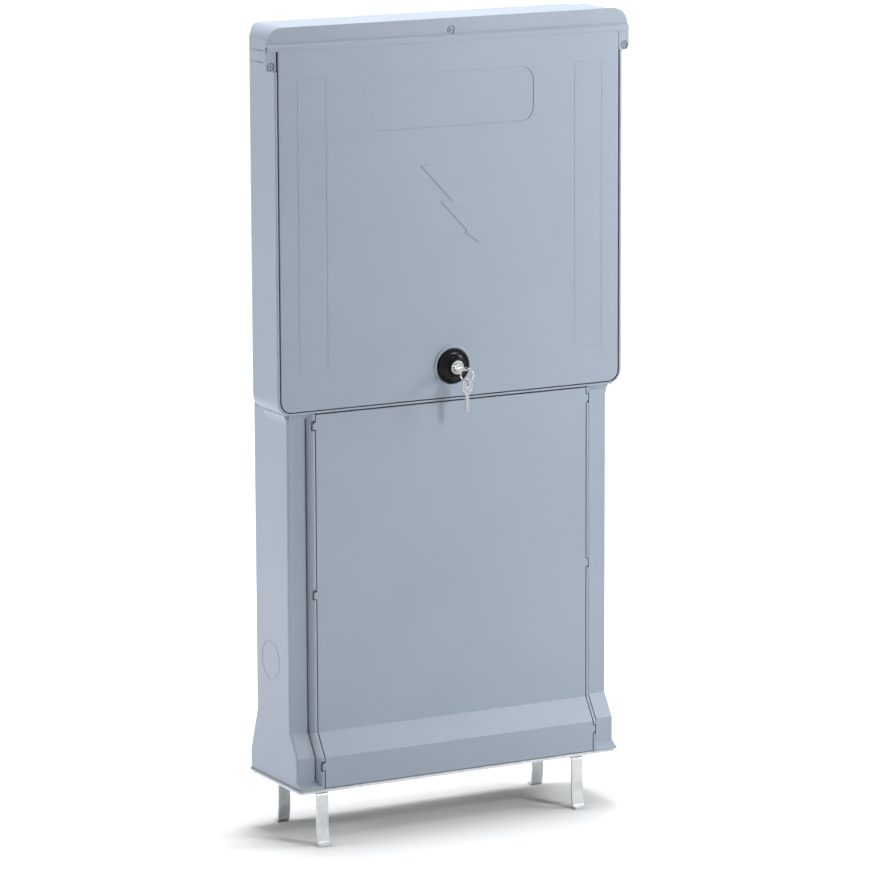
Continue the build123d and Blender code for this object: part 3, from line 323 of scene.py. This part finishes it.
# %% Make a finish from a group
def finish_with(name, group, group_values, **shader_values):
    """A material whose colour, roughness and normal come from a group."""
    material = bpy.data.materials.new(name)
    material.use_nodes = True
    tree = material.node_tree
    shader = tree.nodes["Principled BSDF"]
    for label, value in shader_values.items():
        shader.inputs[label.replace("_", " ")].default_value = value
    skin = tree.nodes.new("ShaderNodeGroup")
    skin.node_tree = group
    for label, value in group_values.items():
        skin.inputs[label].default_value = value
    for output, end in (("Colour", "Base Color"), ("Roughness", "Roughness"), ("Normal", "Normal")):
        feed(tree, skin.outputs[output], shader.inputs[end])
    return material


def plain_skin(colour, roughness, edge_radius=0.0005):
    """The moulded skin's values for a piece of one even colour."""
    return {
        "Colour": colour, "Cloud colour": colour,
        "Roughness": roughness, "Edge radius": edge_radius,
    }


# %% Build the finishes
finishes = {
    "housing": finish_with("Grey moulded plastic", moulded_skin, {}),
    "black_plastic": finish_with(
        "Black plastic", moulded_skin, plain_skin(BLACK, 0.22, 0.0006) | {"Grain lift": 0.03},
        Specular_IOR_Level=0.15,
    ),
    "rubber": finish_with("Sealing rubber", moulded_skin, plain_skin(RUBBER, 0.7)),
    "board": finish_with("Laminate board", moulded_skin, plain_skin(BOARD, 0.42) | {"Grain lift": 0.03}),
    "cleat_plastic": finish_with("Dark polyamide", moulded_skin, plain_skin(CLEAT, 0.5)),
    # The nickel keys get the full painted edge highlight and strong painted shade in corners
    "lock_metal": finish_with(
        "Nickel plate", metal_sheen,
        {"Colour": NICKEL, "Dull colour": NICKEL_DULL, "Crystal share": 0.0,
         "Roughness low": 0.12, "Roughness high": 0.30, "Edge radius": 0.0003,
         "Worn edge width": 0.0008, "Worn edge share": 1.0, "Corner dirt share": 0.75},
        Metallic=1.0,
    ),
    "zinc_steel": finish_with("Bright zinc", metal_sheen, {"Crystal share": 0.1}, Metallic=1.0),
    "galvanised": finish_with(
        "Hot-dip galvanising", metal_sheen,
        {"Colour": GALVANISED, "Dull colour": GALVANISED_DULL, "Crystals per metre": 160.0,
         "Roughness low": 0.42, "Roughness high": 0.6},
        Metallic=0.6,
    ),
}
print("finishes:", ", ".join(finishes))

# %% [markdown]
# ## Dress the frame
# The record says which finish slot each CAD piece has. Every piece gets that one finish, and
# nothing else about it changes.

# %% Give every CAD piece its finish
slot_of = {entry["node"]: entry["material_slot"] for entry in frame["record"]["subparts"]}
for name, piece in node.items():
    piece.data.materials.clear()
    piece.data.materials.append(finishes[slot_of[name]])
print("dressed", len(node), "pieces")

# %% [markdown]
# ## Growing a mesh from a node tree
# What follows a path is grown by Geometry Nodes, as a tree keeps the sizes in named inputs where
# they can be changed. The tree runs once on an empty mesh, and its result is kept as a plain mesh,
# so that nothing depends on the tree later.

# %% Start and end a shape tree
def shape_tree(name, sizes):
    """A Geometry Nodes tree with named size inputs, its sizes and its end node."""
    tree = bpy.data.node_groups.new(name, "GeometryNodeTree")
    tree.interface.new_socket("Geometry", in_out="INPUT", socket_type="NodeSocketGeometry")
    for label, value in sizes.items():
        kind = "NodeSocketVector" if isinstance(value, tuple) else "NodeSocketFloat"
        tree.interface.new_socket(label, in_out="INPUT", socket_type=kind).default_value = value
    tree.interface.new_socket("Geometry", in_out="OUTPUT", socket_type="NodeSocketGeometry")
    return tree, tree.nodes.new("NodeGroupInput").outputs, tree.nodes.new("NodeGroupOutput")


def close_tree(tree, last, result, finish):
    """The tree's end: real geometry, smooth shading and the finish."""
    real = add(tree, "GeometryNodeRealizeInstances")
    smooth = add(tree, "GeometryNodeSetShadeSmooth")
    painted = add(tree, "GeometryNodeSetMaterial", Material=finish)
    feed(tree, last, real.inputs["Geometry"])
    feed(tree, real.outputs[0], smooth.inputs["Geometry"])
    feed(tree, smooth.outputs[0], painted.inputs["Geometry"])
    feed(tree, painted.outputs[0], result.inputs["Geometry"])


# %% Sweep a profile and place a shape
def sweep(tree, path, profile, caps=False):
    """A profile carried along a path."""
    made = add(tree, "GeometryNodeCurveToMesh", Fill_Caps=caps)
    feed(tree, path, made.inputs["Curve"])
    feed(tree, profile, made.inputs["Profile Curve"])
    return made.outputs["Mesh"]


def placed(tree, shape, **changes):
    """A shape that is turned about the origin and moved, by Rotation and Translation."""
    made = add(tree, "GeometryNodeTransform")
    feed(tree, shape, made.inputs["Geometry"])
    for label, value in changes.items():
        feed(tree, value, made.inputs[label])
    return made.outputs["Geometry"]


# %% Run a tree once
def grow(name, tree, sizes):
    """Runs a tree with its sizes and keeps the result as a plain mesh at the origin."""
    piece = bpy.data.objects.new(name, bpy.data.meshes.new(name + " start"))
    bpy.context.scene.collection.objects.link(piece)
    modifier = piece.modifiers.new("Shape", "NODES")
    modifier.node_group = tree
    for socket in tree.interface.items_tree:
        if socket.in_out == "INPUT" and socket.name in sizes:
            modifier[socket.identifier] = sizes[socket.name]
    view = bpy.context.evaluated_depsgraph_get()
    shape = bpy.data.meshes.new_from_object(piece.evaluated_get(view))
    piece.modifiers.remove(modifier)
    piece.data = shape
    shape.name = name
    return piece


# %% [markdown]
# ## The split ring
# A key ring is spring wire wound nearly twice round, with the turns pressed flat against each other
# and one short step from the first turn to the second. A Spiral without height draws both turns on
# one circle, and Set Position moves the second one sideways by a wire's width. CAD has a plain
# double ring in its place; its middle gives the place of this one.

# %% Nodes: split ring
RING_SIZES = {
    "Ring radius": 0.0111,
    "Wire radius": 0.00055,
    "Half step": 0.00056,
    "Turns": 1.88,
    "Step from": 0.468,
    "Step to": 0.532,
    "Ends turned by": math.radians(110),
    "Heading": math.radians(35),
}


def split_ring_tree(finish):
    tree, size, result = shape_tree("Split ring", RING_SIZES | {"Middle": (0.0, 0.0, 0.0)})
    turns = add(tree, "GeometryNodeCurveSpiral", Resolution=72, Height=0.0)
    feed(tree, size["Turns"], turns.inputs["Rotations"])
    for end in ("Start Radius", "End Radius"):
        feed(tree, size["Ring radius"], turns.inputs[end])
    along = add(tree, "GeometryNodeSplineParameter").outputs["Factor"]
    back = calculate(tree, "MULTIPLY", size["Half step"], -1.0)
    middle_stretch = (size["Step from"], size["Step to"])
    step = stretch(tree, along, middle_stretch, (back, size["Half step"]), smooth=True)
    coiled = add(tree, "GeometryNodeSetPosition")
    feed(tree, turns.outputs["Curve"], coiled.inputs["Geometry"])
    feed(tree, arrow(tree, z=step), coiled.inputs["Offset"])
    profile = add(tree, "GeometryNodeCurvePrimitiveCircle", Resolution=12)
    feed(tree, size["Wire radius"], profile.inputs["Radius"])
    wire = sweep(tree, coiled.outputs["Geometry"], profile.outputs["Curve"], caps=True)

    # Turn the wire's ends round, then stand the ring up along its heading
    turned = placed(tree, wire, Rotation=arrow(tree, z=size["Ends turned by"]))
    upright = arrow(tree, y=math.radians(90), z=size["Heading"])
    hung = placed(tree, turned, Rotation=upright, Translation=size["Middle"])
    close_tree(tree, hung, result, finish)
    return tree


# %% Hang the split ring on the key
ring_low, ring_high = (Vector(corner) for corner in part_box("key_ring"))
ring_sizes = RING_SIZES | {"Middle": tuple((ring_low + ring_high) / 2)}
split_ring = grow("split_ring", split_ring_tree(finishes["lock_metal"]), ring_sizes)
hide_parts("key_ring")
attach(split_ring, "key_ring")
print("split ring:", len(split_ring.data.polygons), "faces")

# %% [markdown]
# ## The sealing strip
# The door closes on an extruded rubber strip that runs right round the mouth: a flat foot glued to
# the seat, and a hollow bulb in front that the door squeezes. One path with round corners carries
# both profiles. Its corners are wide below, where the mouth is round, and tight above.

# %% Nodes: the strip's path
SEAL_SIZES = {
    "Foot width": 0.0108,
    "Foot thickness": 0.0016,
    "Bulb radius": 0.0021,
    "Lower corner": 0.0135,
    "Upper corner": 0.0040,
}
SEAL_GAP = 0.0002


def mouth_path(tree, size):
    """A rectangle with two wide lower corners and two tight upper ones."""
    outline = add(tree, "GeometryNodeCurvePrimitiveQuadrilateral")
    for label in ("Width", "Height"):
        feed(tree, size[label], outline.inputs[label])
    parts = add(tree, "ShaderNodeSeparateXYZ")
    feed(tree, add(tree, "GeometryNodeInputPosition").outputs[0], parts.inputs[0])
    is_low = calculate(tree, "LESS_THAN", parts.outputs["Y"], 0.0)
    corner = stretch(tree, is_low, onto=(size["Upper corner"], size["Lower corner"]))
    path = add(tree, "GeometryNodeFilletCurve", mode="POLY", Count=10, Limit_Radius=True)
    feed(tree, outline.outputs["Curve"], path.inputs["Curve"])
    feed(tree, corner, path.inputs["Radius"])
    return path.outputs[0]


# %% Nodes: sealing strip
def sealing_strip_tree(finish):
    places = {"Width": 0.6, "Height": 0.5, "Middle": (0.0, 0.0, 0.0), "Front": 0.0, "Back": 0.0}
    tree, size, result = shape_tree("Sealing strip", SEAL_SIZES | places)
    path = mouth_path(tree, size)
    foot = add(tree, "GeometryNodeCurvePrimitiveQuadrilateral")
    feed(tree, size["Foot width"], foot.inputs["Width"])
    feed(tree, size["Foot thickness"], foot.inputs["Height"])
    bulb = add(tree, "GeometryNodeCurvePrimitiveCircle", Resolution=14)
    feed(tree, size["Bulb radius"], bulb.inputs["Radius"])
    both = add(tree, "GeometryNodeJoinGeometry")
    for profile, depth in ((foot, "Back"), (bulb, "Front")):
        strip = sweep(tree, path, profile.outputs["Curve"])
        laid = placed(tree, strip, Translation=arrow(tree, z=size[depth]))
        feed(tree, laid, both.inputs["Geometry"])

    # The path is drawn flat; stand it up so that its height runs along Z
    upright = arrow(tree, x=math.radians(90))
    standing = placed(tree, both.outputs["Geometry"], Rotation=upright, Translation=size["Middle"])
    close_tree(tree, standing, result, finish)
    return tree


# %% Lay the sealing strip round the mouth
seal_low, seal_high = (Vector(corner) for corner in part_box("door_gasket"))
seal_depth = seal_high.y - seal_low.y
seal_sizes = SEAL_SIZES | {
    "Width": seal_high.x - seal_low.x - SEAL_SIZES["Foot width"] - SEAL_GAP,
    "Height": seal_high.z - seal_low.z - SEAL_SIZES["Foot width"] - SEAL_GAP,
    "Middle": tuple((seal_low + seal_high) / 2),
    "Front": seal_depth / 2 - SEAL_SIZES["Bulb radius"],
    "Back": -seal_depth / 2 + SEAL_SIZES["Foot thickness"] / 2,
}
sealing_strip = grow("sealing_strip", sealing_strip_tree(finishes["rubber"]), seal_sizes)
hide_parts("door_gasket")
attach(sealing_strip, "cabinet")
corners = [vertex.co for vertex in sealing_strip.data.vertices]
print("seal depth:", round(min(c.y for c in corners), 4), round(max(c.y for c in corners), 4))

# %% [markdown]
# ## Floor
# The studio is plain white. The floor is a large plane that keeps the cabinet's soft shadow. To
# the camera it also glows, weakly near the cabinet and fully further out, where it blends with the
# white world. Where the foot closes it in from above the glow fades, which adds a painted shadow
# under the cabinet on top of the lamps' own shadow.

# %% Let the floor glow
FLOOR_SHADE = (0.86, 0.86, 0.86, 1)
GLOW_REACH = (0.35, 1.3)
GLOW_RISE = (0.43, 1.0)
CLOSED_IN_REACH = 0.25
CLOSED_IN_SPAN = (0.60, 0.97)


def seen_directly(tree):
    """1 for what the camera sees, straight or in a mirror, and 0 for the rest of the light."""
    rays = add(tree, "ShaderNodeLightPath")
    return calculate(tree, "MAXIMUM", rays.outputs["Is Camera Ray"], rays.outputs["Is Glossy Ray"])


def floor_material():
    material = bpy.data.materials.new("Studio floor")
    material.use_nodes = True
    tree = material.node_tree
    shader = tree.nodes["Principled BSDF"]
    shader.inputs["Base Color"].default_value = FLOOR_SHADE
    shader.inputs["Roughness"].default_value = 0.9
    shader.inputs["Specular IOR Level"].default_value = 0.0
    shader.inputs["Emission Color"].default_value = (1, 1, 1, 1)
    away = add(tree, "ShaderNodeVectorMath", operation="LENGTH")
    feed(tree, add(tree, "ShaderNodeTexCoord").outputs["Object"], away.inputs[0])
    rise = stretch(tree, away.outputs["Value"], GLOW_REACH, GLOW_RISE, smooth=True)
    # Painted shadow: the glow fades where the floor is closed in under the foot
    outside_painted_shadow = stretch(tree, openness(tree, CLOSED_IN_REACH, samples=16), CLOSED_IN_SPAN, smooth=True)
    glow = calculate(tree, "MULTIPLY", rise, outside_painted_shadow)
    feed(tree, calculate(tree, "MULTIPLY", glow, seen_directly(tree)), shader.inputs["Emission Strength"])
    return material


# %% Lay the floor
FLOOR_REACH = 30.0
floor_mesh = bpy.data.meshes.new("Floor")
floor_mesh.from_pydata(
    [(-FLOOR_REACH, -FLOOR_REACH, 0), (FLOOR_REACH, -FLOOR_REACH, 0),
     (FLOOR_REACH, FLOOR_REACH, 0), (-FLOOR_REACH, FLOOR_REACH, 0)],
    [], [(0, 1, 2, 3)],
)
floor_mesh.materials.append(floor_material())
floor = bpy.data.objects.new("Floor", floor_mesh)
bpy.context.scene.collection.objects.link(floor)
print("floor laid:", 2 * FLOOR_REACH, "metres wide")

# %% [markdown]
# ## Lamps and world
# In the photograph the front gets lighter to the right, the left side is a little lighter than the
# door, and the roof is nearly white. A small key lamp at the front right makes the keys' shadow, two more at
# the right make the front's rise in brightness, and two large soft ones light the side and the
# roof. The world adds very little light of its own, but is white to the camera.

# %% Hang the lamps
MIDDLE = (0.0, 0.0, 0.65)
LAMPS = (
    # name, place, aim, size in metres, power in watts
    ("Key lamp", (1.142, -1.978, 1.667), MIDDLE, 0.45, 26.0),
    ("Side lamp", (-3.2, 0.9, 1.1), MIDDLE, 1.8, 54.0),
    ("Top lamp", (0.2, 0.5, 3.4), MIDDLE, 1.2, 75.0),
    ("Right lamp", (2.51, -0.672, 2.15), MIDDLE, 1.2, 16.0),
    ("Foot lamp", (1.55, -0.75, 1.45), (0.25, 0.0, 0.3), 0.4, 9.0),
)

for name, place, aim, size, power in LAMPS:
    light = bpy.data.lights.new(name, "AREA")
    light.size = size
    light.energy = power
    lamp = bpy.data.objects.new(name, light)
    lamp.location = place
    lamp.rotation_euler = (Vector(aim) - Vector(place)).to_track_quat("-Z", "Y").to_euler()
    bpy.context.scene.collection.objects.link(lamp)
print("lamps:", len(LAMPS))

# %% Colour the world
WORLD_LIGHT = 0.05
world = bpy.data.worlds.new("Studio")
bpy.context.scene.world = world
world.use_nodes = True
sky = world.node_tree
backdrop = sky.nodes["Background"]
backdrop.inputs["Color"].default_value = (1, 1, 1, 1)
feed(sky, stretch(sky, seen_directly(sky), onto=(WORLD_LIGHT, 1.0)), backdrop.inputs["Strength"])
print("world light:", WORLD_LIGHT)

# %% [markdown]
# ## Camera
# The photograph was taken from the left of the front, from far away, with a long lens. The values
# were fitted to a few corners of the cabinet.

# %% Set up the camera
CAMERA_PLACE = (-3.612, -6.704, 2.074)
CAMERA_TURN = 28.31
CAMERA_DIP = 10.30
CAMERA_ROLL = -0.24
LENS = 201.1
SENSOR_WIDTH = 36.0
SHIFT_DOWN = 0.05

camera_data = bpy.data.cameras.new("Camera")
camera_data.lens = LENS
camera_data.sensor_width = SENSOR_WIDTH
camera_data.shift_y = -SHIFT_DOWN
camera_data.clip_end = 200.0
camera = bpy.data.objects.new("Camera", camera_data)
camera.matrix_world = (
    Matrix.Translation(CAMERA_PLACE)
    @ Matrix.Rotation(math.radians(-CAMERA_TURN), 4, "Z")
    @ Matrix.Rotation(math.radians(90 - CAMERA_DIP), 4, "X")
    @ Matrix.Rotation(math.radians(CAMERA_ROLL), 4, "Z")
)
bpy.context.scene.collection.objects.link(camera)
bpy.context.scene.camera = camera
bpy.context.scene.view_settings.view_transform = "Standard"
print("camera at", CAMERA_PLACE)
